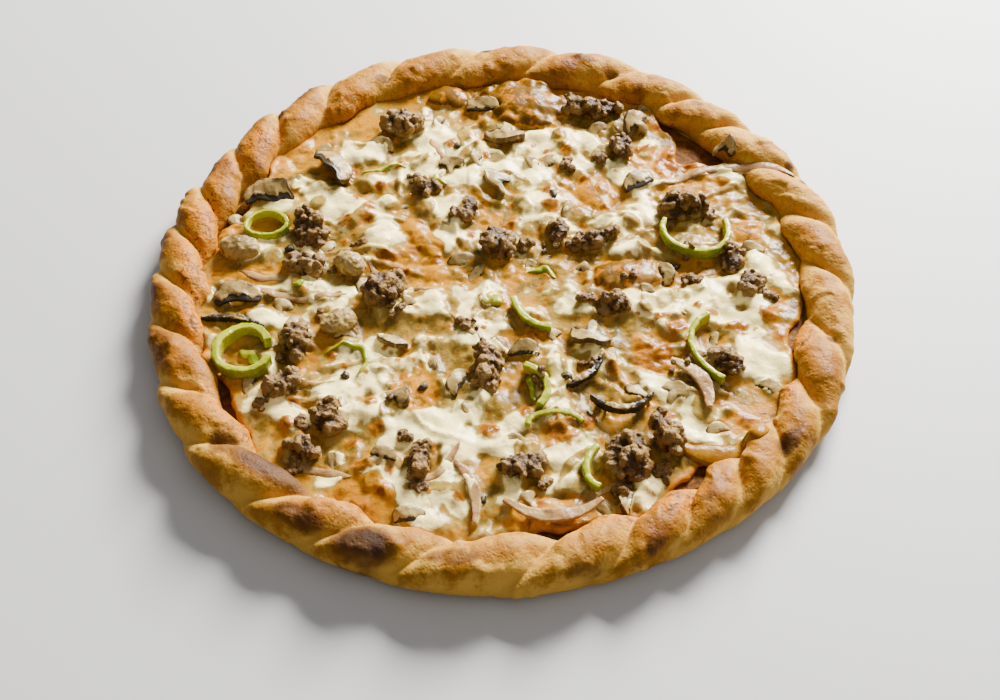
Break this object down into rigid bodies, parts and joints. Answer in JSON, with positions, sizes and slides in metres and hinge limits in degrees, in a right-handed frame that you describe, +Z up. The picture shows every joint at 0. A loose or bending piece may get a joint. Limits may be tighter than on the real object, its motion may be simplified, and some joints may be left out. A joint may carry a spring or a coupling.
{
  "type": "whole pizza with a rope crust",
  "caption": "Whole round pizza with a twisted rope crust, tomato sauce, melted cheese, minced meat, mushroom, green pepper and onion.",
  "frame": {"origin": "middle of the flat underside, on the surface that the pizza lies on", "axes": "+Z up through the pizza, +X to the viewer's right, +Y away from the viewer; the pizza lies flat in the XY plane"},
  "size_m": [0.3215, 0.3251, 0.0221],
  "materials": {
    "dough": "baked dough, golden with brown scorched patches and pale creases",
    "sauce": "wet tomato sauce",
    "cheese": "melted white cheese, glossy, with orange-brown blisters",
    "onion": "soft cooked onion, translucent",
    "pepper": "cooked green pepper, glossy",
    "gills": "dark mushroom gills",
    "mushroom": "cooked mushroom, beige with a brown edge",
    "meat": "browned minced meat, crumbly and a little greasy"
  },
  "bodies": {
    "root": {"dough": "dough", "sauce": "sauce", "cheese": "cheese", "onion_01": "onion", "onion_02": "onion", "onion_03": "onion", "pepper_01": "pepper", "pepper_02": "pepper", "pepper_03": "pepper", "pepper_04": "pepper", "pepper_05": "pepper", "pepper_06": "pepper", "pepper_07": "pepper", "pepper_08": "pepper", "gill_strip_01": "gills", "gill_strip_02": "gills", "gill_strip_03": "gills", "mushroom_01": "mushroom", "mushroom_02": "mushroom", "mushroom_03": "mushroom", "mushroom_04": "mushroom", "mushroom_05": "mushroom", "mushroom_06": "mushroom", "mushroom_07": "mushroom", "mushroom_08": "mushroom", "mushroom_09": "mushroom", "mushroom_10": "mushroom", "mushroom_11": "mushroom", "mushroom_12": "mushroom", "mushroom_13": "mushroom", "mushroom_14": "mushroom", "mushroom_15": "mushroom", "button_01": "mushroom", "button_02": "mushroom", "button_03": "mushroom", "meat_01": "meat", "meat_02": "meat", "meat_03": "meat", "meat_04": "meat", "meat_05": "meat", "meat_06": "meat", "meat_07": "meat", "meat_08": "meat", "meat_09": "meat", "meat_10": "meat", "meat_11": "meat", "meat_12": "meat", "meat_13": "meat", "meat_14": "meat", "meat_15": "meat", "meat_16": "meat", "meat_17": "meat", "meat_18": "meat", "meat_19": "meat", "meat_20": "meat", "meat_21": "meat", "meat_22": "meat", "meat_23": "meat", "meat_24": "meat", "meat_25": "meat"}
  },
  "joints": []
}
